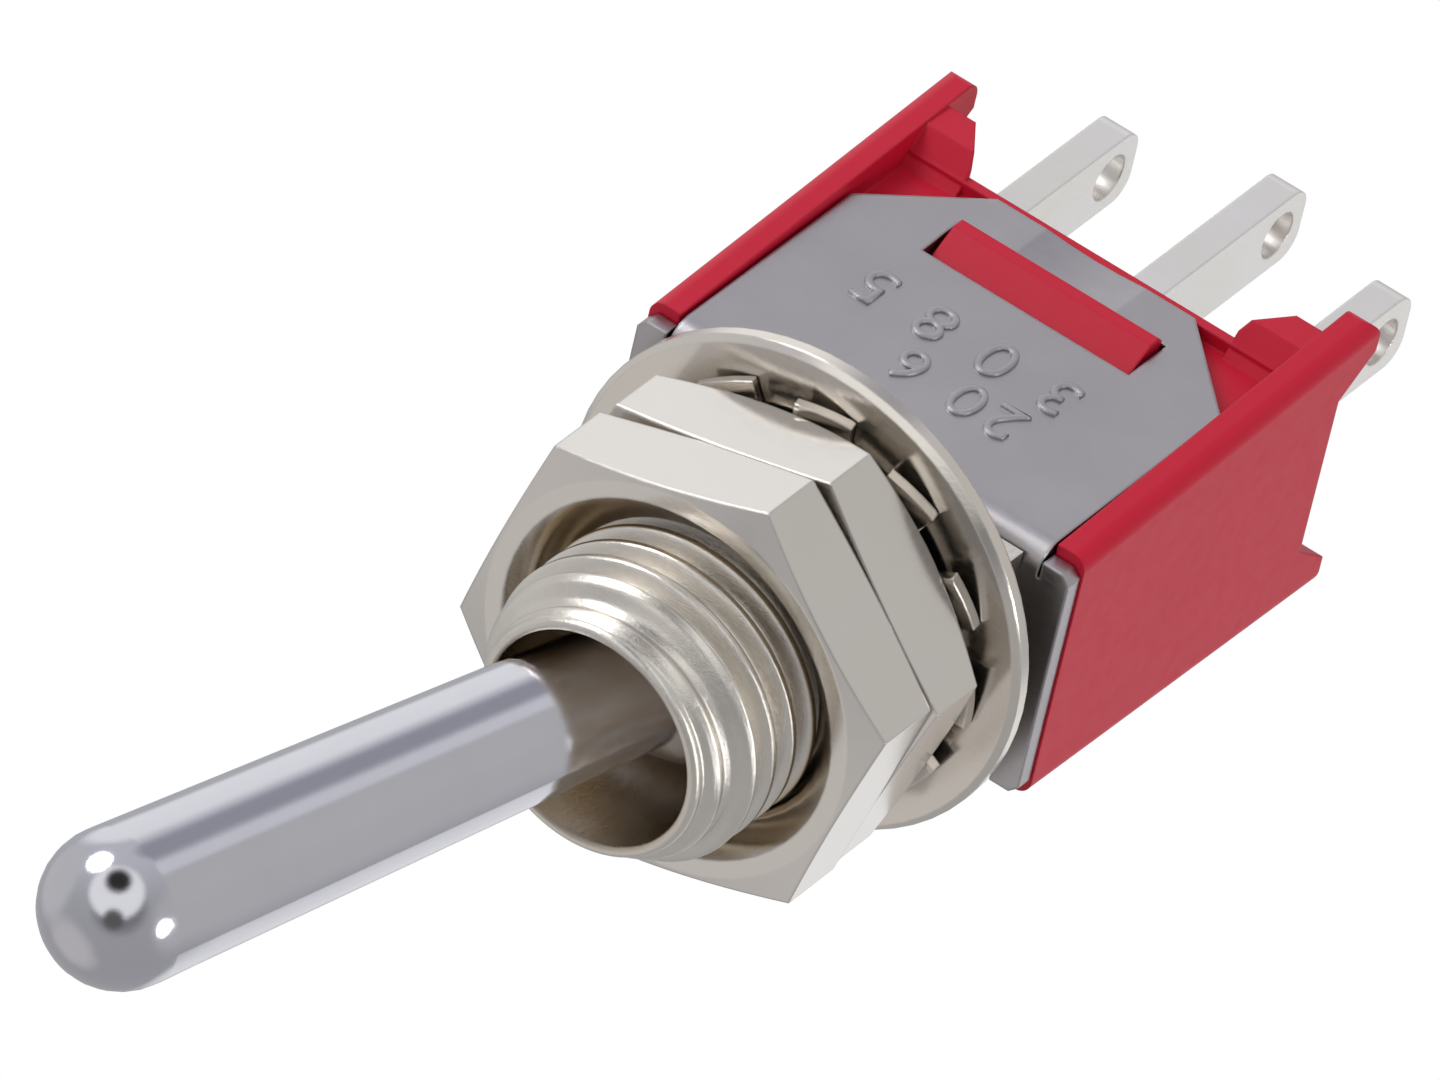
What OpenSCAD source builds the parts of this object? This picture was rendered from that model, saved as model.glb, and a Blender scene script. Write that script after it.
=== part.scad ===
// Sub-miniature panel toggle switch: one pole, two throws, three solder lugs in a row.
// +X runs along the row of lugs, +Y out of one wide face and +Z along the bushing to the lever.
// The origin lies on the bushing's axis, at the front face of the folded frame.
// The lever is drawn thrown towards -X, against its stop.

/* [Case] */
// Width of the moulded case along the row of lugs
case_w = 7.96; // [7.9:0.01:8.4]
// Thickness over the end walls at their front
case_t = 4.54; // [4.3:0.01:5.0]
// How far each end wall flares by its rear, on each wide side
case_flare = 0.27; // [0.05:0.01:0.4]
// Thickness of each end wall, which is also the rib beside the frame leg
end_wall = 0.52; // [0.45:0.01:0.54]
// Depth of the end walls behind the frame's front face
case_d = 7.15; // [6.9:0.01:7.6]
// How far short of the end walls the wide walls stop
side_short = 0.75; // [0.4:0.01:0.9]
// Thickness of the wide walls
side_wall = 0.5; // [0.4:0.01:0.6]
// Rounding along the outer edges of the ribs
rib_round = 0.25; // [0.1:0.01:0.3]
// How far the corner feet stand out behind the end walls
foot_d = 0.8; // [0.5:0.01:1.0]
// Length of each corner foot at its root
foot_l = 1.1; // [0.8:0.01:1.4]
// Rounding of each foot at its outer corner
foot_round = 0.3; // [0.1:0.01:0.4]
// Depth of the contact chamber behind the frame's front face
chamber_d = 4.1; // [4.05:0.01:4.3]
// Thickness of the moulded floor that holds the lugs
floor_t = 1.1; // [0.8:0.01:1.3]
// Width of each corner block inside its rib
block_w = 1.0; // [0.7:0.01:1.2]
// Depth of each corner block
block_d = 1.05; // [0.9:0.01:1.2]
// Length of the ramp from the leg up to the top of each corner block
block_ramp = 0.45; // [0.2:0.01:0.6]
// Width that each corner block loses by its rear
block_cut = 0.5; // [0.2:0.01:0.7]
// How far the sealing compound lies below the rim of the wide walls
seal_drop = 0.4; // [0.1:0.01:0.6]
// Height of the stop ledge behind each frame leg
ledge_h = 0.22; // [0.05:0.01:0.25]
// How far the snap wedges stand above the frame legs
wedge_rise = 0.15; // [0.05:0.01:0.25]
// Length of the flat top of each snap wedge
wedge_flat = 0.3; // [0.2:0.01:0.4]
// Bevel behind that flat
wedge_ease = 0.08; // [0.03:0.01:0.12]

/* [Frame] */
// Thickness of the sheet steel
sheet = 0.3; // [0.25:0.01:0.32]
// Distance over the two legs
frame_t = 4.5; // [4.4:0.01:4.6]
// How far each of the plate's side ears stands out past the leg's edge
ear_l = 0.55; // [0.4:0.01:0.6]
// Reach of the plate's side ears along Y
ear_w = 4.2; // [3.8:0.01:4.4]
// Cut off each corner of the ears
ear_cut = 0.15; // [0.05:0.01:0.3]
// Slit between each ear and the bend beside it
ear_gap = 0.05; // [0.03:0.01:0.1]
// Depth of each leg behind the front face
leg_d = 6.2; // [6.1:0.01:6.3]
// Size of the cut corners of each leg
leg_cut = 1.58; // [1.2:0.01:1.8]
// Inner radius of the two bends
bend_r = 0.15; // [0.1:0.01:0.3]
// Width of the snap slot in each leg
slot_w = 3.8; // [3.2:0.01:4.2]
// Height of the snap slot
slot_h = 0.98; // [0.8:0.01:1.1]
// Depth of the slot's front edge behind the front face
slot_z = 4.35; // [4.3:0.01:4.4]
// Depth of the coined dish behind the slot
coin_d = 0.05; // [0.02:0.01:0.08]

/* [Bushing] */
// Outside diameter over the thread crests
thread_d = 4.83; // [4.7:0.01:4.9]
// Pitch diameter, where the nuts' threads and the bushing's meet
pitch_d = 4.48; // [4.4:0.01:4.55]
// Spacing of the thread's grooves
thread_step = 0.5; // [0.4:0.01:0.6]
// Depth of the grooves
thread_cut = 0.2; // [0.1:0.01:0.26]
// Slope of the grooves' flanks away from the radius
thread_flank = 43; // [30:1:45]
// Grooves that show in front of the nuts
thread_rings = 2; // [1:1:3]
// Height of the bushing's nose above the front plate
bush_h = 6.1; // [5.8:0.01:6.6]
// Diameter of the thin nose that the thread tapers to
nose_d = 3.9; // [3.8:0.01:4.2]
// Length of that taper, nose included
taper_l = 0.85; // [0.5:0.01:1.0]
// Bore that the lever's ball turns in
bush_bore = 3.5; // [3.46:0.01:3.54]
// Narrower bore through the neck, for the shank
neck_bore = 3.04; // [3.02:0.01:3.06]
// Height at which the bore narrows
bore_step = 1.0; // [0.8:0.01:1.3]
// Length of the shoulder block on the front plate, along the row of lugs
shoulder_x = 6.2; // [5.6:0.01:6.6]
// Width of the shoulder block
shoulder_y = 4.2; // [4.0:0.01:4.4]
// Height of the shoulder block
shoulder_h = 0.54; // [0.45:0.01:0.7]
// Diameter of the neck staked through the plate
neck_d = 3.44; // [3.42:0.01:3.5]
// Diameter of the staked rim behind the plate
rim_d = 4.2; // [4.0:0.01:4.4]
// Thickness of the staked rim
rim_t = 0.2; // [0.15:0.01:0.25]
// Radius of the rounded rim of the nose
nose_r = 0.12; // [0.05:0.01:0.14]
// Bevel at the mouth of the bore
bore_lip = 0.05; // [0.02:0.01:0.06]

/* [Hardware] */
// Width across the flats of both nuts
nut_af = 6.6; // [6.3:0.01:7.0]
// Thickness of each nut
nut_t = 1.38; // [1.3:0.01:1.42]
// Diameter of the nuts' countersinks at the face
nut_sink = 5.9; // [5.4:0.01:6.1]
// Depth of the countersinks
nut_sink_d = 0.7; // [0.5:0.01:0.75]
// How far inside the flats the corner bevels start
nut_bevel = 0.07; // [0.04:0.01:0.15]
// Height of the corner bevel on the front nut's face
nut_chamfer = 0.17; // [0.1:0.01:0.3]
// Height of the corner bevel on the back of the rear nut
nut_back = 0.3; // [0.15:0.01:0.4]
// Height of the corner bevels where the two nuts meet
nut_ease = 0.08; // [0.05:0.01:0.2]
// Turn of the front nut about the bushing
front_nut_turn = 16; // [0:1:60]
// Turn of the rear nut about the bushing
rear_nut_turn = 13; // [0:0.5:60]
// Diameter of the flat washer
washer_d = 8.1; // [7.8:0.01:8.6]
// Thickness of the flat washer
washer_t = 0.4; // [0.3:0.01:0.45]
// Outside diameter over the lock washer's teeth
lock_d = 6.9; // [6.6:0.01:7.2]
// Diameter at the roots of the teeth
lock_root_d = 6.0; // [5.8:0.01:6.2]
// Thickness of the lock washer's sheet
lock_sheet = 0.18; // [0.15:0.01:0.2]
// Number of teeth on the lock washer
lock_teeth = 12; // [8:1:14]
// Twist of each tooth
lock_twist = 12; // [6:1:14]
// Height that the twisted teeth are pressed to
lock_h = 0.34; // [0.3:0.01:0.36]

/* [Lever] */
// Height of the pivot above the front plate
pivot_z = 3.2; // [3.18:0.01:3.22]
// Distance from the pivot to the centre of the rounded tip
lever_l = 11.3; // [10:0.1:12.5]
// Radius of the rounded tip
tip_r = 1.22; // [1.1:0.01:1.4]
// Radius of the lever just above the pivot ball
neck_r = 1.0; // [0.9:0.01:1.0]
// Radius of the pivot ball
ball_r = 1.68; // [1.6:0.01:1.7]
// Radius of the shank below the ball
shank_r = 0.65; // [0.6:0.01:0.66]
// Half of the lever's full swing, either way from upright
throw = 12.5; // [10:0.1:12.5]
// Radius of the pivot pin
pin_r = 0.35; // [0.3:0.01:0.4]

/* [Plunger] */
// Radius of the hole up the lever's shank
well_r = 0.43; // [0.4:0.01:0.44]
// Depth of that hole
well_d = 3.0; // [2.8:0.01:3.1]
// Radius of the plunger's rounded head
head_r = 0.55; // [0.5:0.01:0.58]
// Length of the plunger's straight collar above its rounded head
collar_h = 0.13; // [0.08:0.01:0.18]
// Travel of the plunger into the shank
plunger_travel = 0.25; // [0.2:0.01:0.26]
// Length of the plunger's stem inside the shank
stem_l = 1.3; // [1.1:0.01:1.4]
// Wire radius of the plunger spring
wire_r = 0.05; // [0.04:0.01:0.06]
// Turns of the plunger spring
spring_turns = 6; // [4:1:8]

/* [Contacts] */
// Spacing of the lugs
pitch = 2.54; // [2.5:0.01:2.6]
// Thickness of the lug blades
lug_t = 0.56; // [0.4:0.01:0.6]
// Width of the lug blades
lug_w = 1.3; // [1.2:0.01:1.4]
// Depth of the outer lugs' tips behind the front plate
lug_d = 11.15; // [10:0.05:12]
// How much longer the centre lug is
centre_extra = 0.85; // [0:0.05:1]
// Diameter of the wire hole in each lug
eye_d = 0.8; // [0.6:0.01:0.85]
// Distance from a lug's tip to the centre of its hole
eye_in = 0.67; // [0.6:0.01:0.8]
// Rounding of a lug's tip
tip_round = 0.4; // [0.1:0.01:0.55]
// Swing of the contact rocker, either way from level
rocker_tilt = 5; // [4:0.1:5]
// Thickness of the rocker
rocker_t = 0.3; // [0.26:0.01:0.32]
// Length of the rocker
rocker_l = 5.9; // [5.7:0.01:6.0]
// Width of the rocker
rocker_w = 2.0; // [1.6:0.01:2.2]
// Width of the rocker's waist, over the fulcrum
waist_w = 0.8; // [0.7:0.01:0.84]
// Length of the waist
waist_l = 0.9; // [0.7:0.01:1.1]
// Radius of the rounded fulcrum under the rocker
fulcrum_r = 0.25; // [0.2:0.01:0.25]
// Height of the fulcrum's centre above the moulded floor
cradle_h = 0.95; // [0.9:0.01:1.0]
// Depth of the groove under the rocker that sits on the fulcrum
rocker_seat = 0.15; // [0.12:0.01:0.18]
// How far the two ears stand above the rocker
ear_h = 0.15; // [0.1:0.01:0.2]
// Radius of the contact buttons
button_r = 0.45; // [0.35:0.01:0.5]
// Thickness of the rocker's contact buttons
button_t = 0.2; // [0.15:0.01:0.22]
// Thickness of the contact pads on the outer lugs
pad_t = 0.3; // [0.25:0.01:0.32]
// Border of a lug's inner end beside its contact
pad_rim = 0.2; // [0.1:0.01:0.25]

/* [Clearances] */
// Gap between pieces stacked on the bushing
stack_gap = 0.02; // [0.01:0.01:0.03]
// Gap round pieces that are fitted together
fit_gap = 0.02; // [0.01:0.01:0.03]
// Radial gap of the turning and sliding fits
run_gap = 0.05; // [0.03:0.01:0.06]
// Radial gap between the threads of the nuts and the bushing
thread_gap = 0.01; // [0.01:0.01:0.03]
// Radial gap of the washers round the thread
washer_gap = 0.08; // [0.05:0.01:0.1]
// How far each end of the pivot pin lies below the roots of the thread
pin_sink = 0.03; // [0.02:0.01:0.1]
// Radial gap of the plunger spring in its hole
spring_gap = 0.09; // [0.06:0.01:0.12]
// Gap between each edge of a leg and the end wall beside it
leg_gap = 0.06; // [0.03:0.01:0.2]
// Gap at the sides of the snap wedge in its slot
snap_gap = 0.08; // [0.05:0.01:0.25]

/* [Hidden] */
$fn = 96;

leg_y = frame_t / 2;              // outer face of a leg
seat_y = leg_y - sheet - fit_gap; // face of the case under a leg
half_w = case_w / 2;
inner_x = half_w - end_wall;      // inner face of an end wall
root_x = half_w - end_wall / 2;   // middle of an end wall, where what joins it ends
leg_w = 2 * (inner_x - leg_gap);  // width of each leg
plate_w = leg_w + 2 * ear_l;      // width of the frame's front plate
front_z = -sheet - fit_gap;       // front of the case
side_z = -(case_d - side_short);  // rear of the wide walls
flare_a = atan(case_flare / case_d);
chamber_y = seat_y - side_wall;
floor_z = -chamber_d - floor_t;   // rear of the moulded floor
fulcrum_z = chamber_d - cradle_h; // depth of the fulcrum's centre behind the front plate
washer_z = shoulder_h + stack_gap;
lock_z = washer_z + washer_t + stack_gap;
rear_nut_z = lock_z + lock_h + stack_gap;
front_nut_z = rear_nut_z + nut_t + stack_gap;
nut_face_z = front_nut_z + nut_t;
crest_z = nut_face_z + stack_gap; // start of the bare thread in front of the nuts
taper_z = bush_h - taper_l;
past = 1;                         // how far a cut runs past the face that it opens
washer_bore = thread_d + 2 * washer_gap;
plunger_s = pivot_z + rocker_top(); // pivot to the plunger's tip, lever upright
head_s = plunger_s - head_r - stack_gap;
shank_l = head_s - plunger_travel - run_gap - collar_h; // pivot to the shank's lower end
spring_top = shank_l - well_d + run_gap;
spring_end = head_s - stem_l - 2 * run_gap;
button_drop = rocker_drop();
pad_z = -chamber_d + pad_t;
rim_y = leg_y - sheet - bend_r - fit_gap; // flats of the staked rim, inside the bends

// Depth of the rocker's upper face behind the front plate
function rocker_top() = fulcrum_z - fulcrum_r + rocker_seat - rocker_t;

// Depth of the lowest edge of the rocker's contact, tilted down on its own side
function rocker_drop() =
    fulcrum_z + (pitch + button_r) * sin(rocker_tilt)
    + (button_t + rocker_top() + rocker_t - fulcrum_z) * cos(rocker_tilt);

module both_x() {
    children();
    mirror([1, 0, 0]) children();
}

module both_y() {
    children();
    mirror([0, 1, 0]) children();
}

// A profile drawn in Y and Z, extruded across X
module across_x(w) {
    rotate([90, 0, 90])
        translate([0, 0, -w / 2])
            linear_extrude(w) children();
}

// A profile drawn in X and Z, extruded across Y
module across_y(w) {
    rotate([90, 0, 0])
        translate([0, 0, -w / 2])
            linear_extrude(w) children();
}

// A piece drawn upright at its pivot, carried to the thrown lever's place
module on_lever() {
    translate([0, 0, pivot_z]) rotate([0, -throw, 0]) children();
}

// A piece drawn level at the fulcrum, carried to the thrown rocker's place
module on_rocker() {
    translate([0, 0, -fulcrum_z]) rotate([0, rocker_tilt, 0]) children();
}

// ---- Frame ----

// The folded sheet seen along X: its inner face, or its outer one when grown by the sheet
module bend_profile(grow) {
    r = bend_r + grow;
    y = leg_y - sheet + grow;
    z = -sheet + grow;
    translate([-y, -leg_d]) square([2 * y, leg_d + z - r]);
    translate([-y + r, -leg_d]) square([2 * (y - r), leg_d + z]);
    for (s = [-1, 1]) translate([s * (y - r), z - r]) circle(r);
}

// The front plate: its middle between the bends, and an ear beside the bends at each end
module plate_outline() {
    x = plate_w / 2;
    y = ear_w / 2;
    root = leg_w / 2 + ear_gap;
    square([plate_w - 2 * ear_cut, 2 * (leg_y - sheet - bend_r)], center = true);
    both_x()
        polygon([
            [root, -y], [x - ear_cut, -y], [x, ear_cut - y],
            [x, y - ear_cut], [x - ear_cut, y], [root, y]
        ]);
}

module leg_outline() {
    w = leg_w / 2;
    polygon([
        [-w, 0], [w, 0], [w, leg_cut - leg_d], [w - leg_cut, -leg_d],
        [leg_cut - w, -leg_d], [-w, leg_cut - leg_d]
    ]);
}

module frame() {
    coin_w = leg_w - 2 * leg_cut;
    coin_r = (pow(coin_w / 4, 2) + pow(coin_d, 2)) / (2 * coin_d);
    color([0.68, 0.67, 0.67])
        difference() {
            union() {
                intersection() {
                    across_x(leg_w)
                        difference() {
                            bend_profile(sheet);
                            bend_profile(0);
                        }
                    across_y(frame_t + past) leg_outline();
                }
                translate([0, 0, -sheet]) linear_extrude(sheet) plate_outline();
            }
            translate([0, 0, -sheet - past]) cylinder(h = sheet + 2 * past, d = neck_d + 2 * fit_gap);
            translate([-slot_w / 2, -frame_t, -slot_z - slot_h]) cube([slot_w, 2 * frame_t, slot_h]);
            both_y()
                translate([0, leg_y - coin_d + coin_r, -leg_d - coin_d])
                    cylinder(h = leg_d - slot_z - slot_h, r = coin_r);
        }
}

// ---- Case ----

// One half of an end wall seen along X, with the foot behind its corner
module end_outline() {
    y = case_t / 2 + case_flare * (case_d + foot_d) / case_d;
    rear = -case_d - foot_d;
    translate([-fit_gap, -case_d]) square([case_t, case_d + front_z]);
    translate([y - foot_round, rear + foot_round]) circle(foot_round);
    polygon([
        [y - foot_l, foot_d - case_d], [y - foot_l, -case_d], [y - foot_l / 2, rear],
        [y - foot_round, rear], [y, rear + foot_round], [y, foot_d - case_d]
    ]);
}

// Half of an end wall, its rib rounded on the outside and tilted to follow the flare
module half_end_wall() {
    h = case_t / 2;
    r = min(rib_round, end_wall / 2);
    intersection() {
        translate([0, h, 0])
            rotate([flare_a, 0, 0])
                translate([0, -h, -2 * case_d])
                    linear_extrude(3 * case_d) {
                        translate([half_w - r, h - r]) circle(r);
                        polygon([
                            [inner_x, -h], [half_w, -h], [half_w, h - r],
                            [half_w - r, h], [inner_x, h]
                        ]);
                    }
        across_x(2 * case_w) end_outline();
    }
}

// The body between the end walls seen along X, its front edges cut back inside the bends
module body_outline() {
    y = seat_y;
    polygon([
        [-y, side_z], [-y, front_z - bend_r], [bend_r - y, front_z],
        [y - bend_r, front_z], [y, front_z - bend_r], [y, side_z]
    ]);
}

// Gusset between a rib and the cut corner of the frame leg, with a ramp up to the rib's top
module corner_block() {
    h = case_t / 2 + case_flare - run_gap;
    front = block_d - case_d;
    root = inner_x - block_w;
    intersection() {
        translate([0, h / 2, 0])
            across_y(h)
                polygon([
                    [root_x, front], [root, front], [root, side_z],
                    [root + block_cut, -case_d], [root_x, -case_d]
                ]);
        across_x(case_w)
            polygon([
                [chamber_y, front], [seat_y, front], [h, front - block_ramp],
                [h, -case_d], [chamber_y, -case_d]
            ]);
    }
}

// Ramp that the frame's slot snaps over: low in front, steep behind
module snap_wedge() {
    front = -slot_z - fit_gap;
    rear = fit_gap - slot_z - slot_h;
    top = leg_y + wedge_rise;
    across_x(slot_w - 2 * snap_gap)
        polygon([
            [chamber_y, front], [seat_y + run_gap, front], [top, rear + wedge_flat],
            [top, rear + wedge_ease], [top - wedge_ease, rear], [chamber_y, rear]
        ]);
}

// Raised strip that stops the rear edge of a leg
module stop_ledge() {
    ledge_z = -leg_d - fit_gap;
    translate([-root_x, chamber_y, side_z])
        cube([2 * root_x, seat_y + ledge_h - chamber_y, ledge_z - side_z]);
}

module lug_slot(x, w, clear) {
    translate([x - lug_t / 2 - clear, -w / 2 - clear, -case_d - past])
        cube([lug_t + 2 * clear, w + 2 * clear, case_d]);
}

module case() {
    color([0.72, 0.13, 0.2])
        difference() {
            union() {
                both_x() both_y() {
                    half_end_wall();
                    corner_block();
                }
                across_x(2 * root_x) body_outline();
                both_y() {
                    snap_wedge();
                    stop_ledge();
                }
            }
            // Contact chamber, open to the front
            translate([-inner_x, -chamber_y, -chamber_d])
                cube([2 * inner_x, 2 * chamber_y, chamber_d]);
            // Well behind the floor, for the sealing compound
            translate([-inner_x, -chamber_y, -case_d - foot_d])
                cube([2 * inner_x, 2 * chamber_y, case_d + foot_d + floor_z]);
            // Room for the bushing's staked rim
            translate([-rim_d / 2 - run_gap, -rim_y - run_gap, -sheet - rim_t - run_gap])
                cube([rim_d + 2 * run_gap, 2 * (rim_y + run_gap), rim_t + past]);
            for (x = [-pitch, 0, pitch]) lug_slot(x, lug_w, fit_gap);
        }
}

// ---- Bushing and hardware ----

// One groove of the thread, cut as a ring
module groove(z) {
    r = thread_d / 2;
    open = 2 * thread_cut * tan(thread_flank);
    polygon([[r + thread_cut, z - open], [r - thread_cut, z], [r + thread_cut, z + open]]);
}

// Half section of the bushing before it is bored and threaded: neck, barrel, taper and nose
module bushing_profile() {
    r = thread_d / 2;
    nose = nose_d / 2;
    translate([0, -sheet - rim_t]) square([neck_d / 2, sheet + rim_t]);
    square([r, rear_nut_z - stack_gap]);
    square([pitch_d / 2, crest_z]);
    translate([0, crest_z]) square([r, taper_z - crest_z]);
    polygon([
        [0, taper_z], [r, taper_z], [nose, bush_h - nose_r], [nose - nose_r, bush_h], [0, bush_h]
    ]);
    translate([nose - nose_r, bush_h - nose_r]) circle(nose_r);
}

module bushing() {
    color([0.7, 0.68, 0.65])
        difference() {
            union() {
                rotate_extrude() difference() {
                    bushing_profile();
                    for (i = [1:thread_rings]) groove(taper_z - (i - 0.75) * thread_step);
                }
                translate([0, 0, shoulder_h / 2])
                    cube([shoulder_x, shoulder_y, shoulder_h], center = true);
                // Rim staked out behind the plate, flattened between the bends
                intersection() {
                    translate([0, 0, -sheet - rim_t]) cylinder(h = rim_t, d = rim_d);
                    cube([rim_d, 2 * rim_y, 2], center = true);
                }
            }
            translate([0, 0, bore_step]) cylinder(h = bush_h, d = bush_bore);
            translate([0, 0, -bush_h]) cylinder(h = 2 * bush_h, d = neck_bore);
            translate([0, 0, bush_h - bore_lip])
                cylinder(h = 2 * bore_lip, d1 = bush_bore, d2 = bush_bore + 4 * bore_lip);
            // Cross hole for the pivot pin
            translate([0, 0, pivot_z]) rotate([90, 0, 0])
                cylinder(h = 2 * thread_d, r = pin_r + fit_gap / 2, center = true);
        }
}

// A nut from z, its corners bevelled by back_rise behind and by face_rise in front
module nut(z, turn, back_rise, face_rise) {
    corner = nut_af / sqrt(3);
    land = nut_af / 2 - nut_bevel;
    sink = nut_sink / 2;
    bore = pitch_d / 2 + thread_gap;
    over = fit_gap * (sink - bore) / nut_sink_d;
    translate([0, 0, z]) rotate(turn)
        difference() {
            intersection() {
                cylinder(h = nut_t, r = corner, $fn = 6);
                rotate_extrude()
                    polygon([
                        [0, 0], [land, 0], [corner, back_rise],
                        [corner, nut_t - face_rise], [land, nut_t], [0, nut_t]
                    ]);
            }
            translate([0, 0, -past]) cylinder(h = nut_t + 2 * past, r = bore);
            translate([0, 0, nut_t - nut_sink_d])
                cylinder(h = nut_sink_d + fit_gap, r1 = bore, r2 = sink + over);
            translate([0, 0, -fit_gap])
                cylinder(h = nut_sink_d / 2 + fit_gap, r1 = (sink + bore) / 2 + over, r2 = bore);
        }
}

module front_nut() {
    color([0.69, 0.67, 0.64]) nut(front_nut_z, front_nut_turn, nut_ease, nut_chamfer);
}

module rear_nut() {
    color([0.67, 0.65, 0.62]) nut(rear_nut_z, rear_nut_turn, nut_back, nut_ease);
}

module flat_washer() {
    r = washer_d / 2;
    edge = washer_t / 4;
    color([0.66, 0.64, 0.61])
        translate([0, 0, washer_z])
            rotate_extrude()
                polygon([
                    [washer_bore / 2, 0], [r - edge, 0], [r, edge], [r, washer_t - edge],
                    [r - edge, washer_t], [washer_bore / 2, washer_t]
                ]);
}

module lock_washer() {
    r = lock_d / 2;
    root = lock_root_d / 2;
    tooth = [r - root + 2 * lock_sheet, PI * lock_root_d / lock_teeth * 0.6, lock_sheet];
    color([0.72, 0.7, 0.68])
        translate([0, 0, lock_z + lock_h / 2])
            difference() {
                union() {
                    cylinder(h = lock_sheet, r = root, center = true);
                    intersection() {
                        for (i = [0:lock_teeth - 1])
                            rotate(i * 360 / lock_teeth)
                                translate([(root + r) / 2, 0, 0])
                                    rotate([lock_twist, 0, 0])
                                        cube(tooth, center = true);
                        cylinder(h = lock_h, r = r, center = true);
                    }
                }
                cylinder(h = past, d = washer_bore, center = true);
            }
}

// ---- Lever, its pin and plunger ----

module lever() {
    color([0.74, 0.74, 0.78])
        on_lever() difference() {
            union() {
                translate([0, 0, -shank_l]) cylinder(h = shank_l, r = shank_r);
                sphere(ball_r);
                cylinder(h = lever_l, r1 = neck_r, r2 = tip_r);
                translate([0, 0, lever_l]) sphere(tip_r);
            }
            translate([0, 0, -shank_l - past]) cylinder(h = well_d + past, r = well_r);
            rotate([90, 0, 0]) cylinder(h = 2 * ball_r + past, r = pin_r + run_gap, center = true);
        }
}

module pivot_pin() {
    color([0.6, 0.6, 0.62])
        translate([0, 0, pivot_z])
            rotate([90, 0, 0]) cylinder(h = pitch_d - 2 * pin_sink, r = pin_r, center = true);
}

module plunger() {
    color([0.9, 0.88, 0.82])
        on_lever() translate([0, 0, -head_s]) {
            rotate_extrude() intersection() {
                circle(head_r);
                translate([0, -head_r]) square(head_r);
            }
            cylinder(h = collar_h, r = head_r);
            cylinder(h = stem_l, r = well_r - run_gap);
        }
}

// Points of one ring of the spring wire, at turn t of the coil
function wire_ring(t, coil_r, rise) = [
    for (i = [0:7])
        let (a = 360 * t, b = 45 * i, q = coil_r + wire_r * cos(b))
        [q * cos(a), q * sin(a), rise * t + wire_r * sin(b)]
];

module plunger_spring() {
    steps = 16 * spring_turns;
    coil_r = well_r - wire_r - spring_gap;
    rise = (spring_end - spring_top - 2 * wire_r) / spring_turns;
    points = [for (k = [0:steps]) each wire_ring(k / 16, coil_r, rise)];
    sides = [
        for (k = [0:steps - 1], i = [0:7])
            let (a = 8 * k + i, b = 8 * k + (i + 1) % 8)
            each [[a, a + 8, b + 8], [a, b + 8, b]]
    ];
    ends = [[for (i = [0:7]) i], [for (i = [7:-1:0]) 8 * steps + i]];
    color([0.75, 0.75, 0.76])
        on_lever() translate([0, 0, wire_r - spring_end])
            polyhedron(points, concat(sides, ends));
}

// ---- Contacts ----

module contact_rocker() {
    top = fulcrum_z - rocker_top();
    color([0.8, 0.72, 0.5])
        on_rocker() difference() {
            translate([-rocker_l / 2, -rocker_w / 2, top - rocker_t])
                cube([rocker_l, rocker_w, rocker_t]);
            rotate([90, 0, 0])
                cylinder(h = 2 * rocker_w, r = fulcrum_r + run_gap, center = true);
            both_y()
                translate([-waist_l / 2, waist_w / 2, -past]) cube([waist_l, rocker_w, 2 * past]);
        }
}

module rocker_contact(side) {
    top = fulcrum_z - rocker_top();
    color([0.85, 0.85, 0.86])
        on_rocker()
            translate([side * pitch, 0, top - rocker_t - button_t]) cylinder(h = button_t, r = button_r);
}

module rocker_contact_left() {
    rocker_contact(-1);
}

module rocker_contact_right() {
    rocker_contact(1);
}

module fixed_contact(side) {
    color([0.85, 0.85, 0.86])
        translate([side * pitch, 0, pad_z])
            cylinder(h = -button_drop - fit_gap - pad_z, r = button_r + run_gap);
}

module fixed_contact_left() {
    fixed_contact(-1);
}

module fixed_contact_right() {
    fixed_contact(1);
}

// Blade of a lug, from its top edge down to its rounded tip, with the wire hole
module lug_blade(top_z, tip_z) {
    w = lug_w / 2;
    difference() {
        across_x(lug_t) {
            for (s = [-1, 1])
                translate([s * (w - tip_round), tip_z + tip_round]) circle(tip_round);
            polygon([
                [-w, top_z], [-w, tip_z + tip_round], [tip_round - w, tip_z],
                [w - tip_round, tip_z], [w, tip_z + tip_round], [w, top_z]
            ]);
        }
        translate([0, 0, tip_z + eye_in])
            rotate([0, 90, 0]) cylinder(h = lug_t + past, d = eye_d, center = true);
    }
}

module outer_terminal(side) {
    color([0.8, 0.8, 0.81])
        translate([side * pitch, 0, 0]) {
            lug_blade(-chamber_d, -lug_d);
            translate([-button_r - pad_rim, -lug_w / 2, -chamber_d])
                cube([2 * (button_r + pad_rim), lug_w, pad_t]);
        }
}

module terminal_left() {
    outer_terminal(-1);
}

module terminal_right() {
    outer_terminal(1);
}

// The centre lug ends in a cradle: a rounded edge under the rocker between two ears
module terminal_centre() {
    ear_y = waist_w / 2 + run_gap;
    ear_t = lug_w / 2 - ear_y;
    color([0.8, 0.8, 0.81]) {
        lug_blade(-chamber_d, -lug_d - centre_extra);
        translate([-fulcrum_r, -lug_w / 2, -chamber_d])
            cube([2 * fulcrum_r, lug_w, chamber_d - fulcrum_z]);
        translate([0, 0, -fulcrum_z]) rotate([90, 0, 0])
            cylinder(h = lug_w, r = fulcrum_r, center = true);
        both_y()
            translate([-fulcrum_r, ear_y, -chamber_d])
                cube([2 * fulcrum_r, ear_t, chamber_d - rocker_top() + ear_h]);
    }
}

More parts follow.
